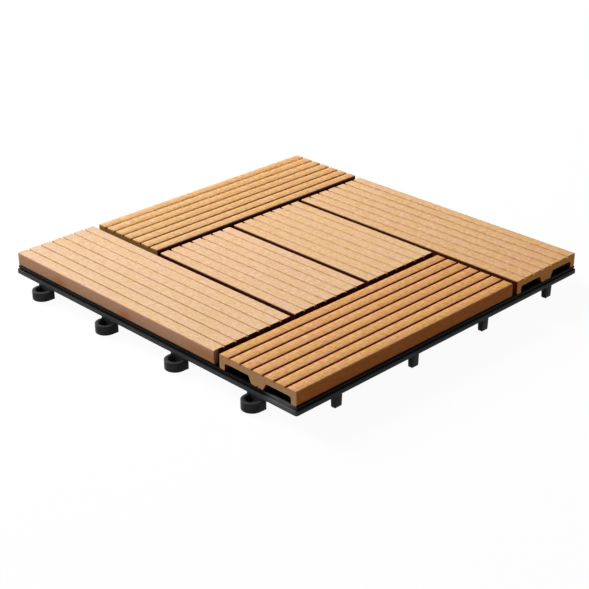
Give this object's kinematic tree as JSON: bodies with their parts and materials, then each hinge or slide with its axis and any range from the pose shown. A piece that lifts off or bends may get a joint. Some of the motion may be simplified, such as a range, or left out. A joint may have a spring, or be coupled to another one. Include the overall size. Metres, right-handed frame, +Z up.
{
  "type": "interlocking deck tile",
  "caption": "Square outdoor floor tile of grooved composite boards in a pinwheel layout, screwed to a moulded base with loops and pegs that hook to the next tile.",
  "frame": {"origin": "centre of the 300 mm square base, on the ground under the middle foot", "axes": "+Z up out of the walking surface; the loops stand out along -Y and -X, the pegs hang under the +X and +Y edges"},
  "size_m": [0.3093, 0.3093, 0.0255],
  "materials": {
    "composite_board": "brushed wood-plastic composite",
    "base_plastic": "moulded, satin",
    "screw_steel": "zinc plated"
  },
  "bodies": {
    "root": {"left_board": "composite_board", "front_board": "composite_board", "right_board": "composite_board", "back_board": "composite_board", "middle_board_front": "composite_board", "middle_board_back": "composite_board", "base_grid": "base_plastic", "board_screws": "screw_steel"}
  },
  "joints": []
}
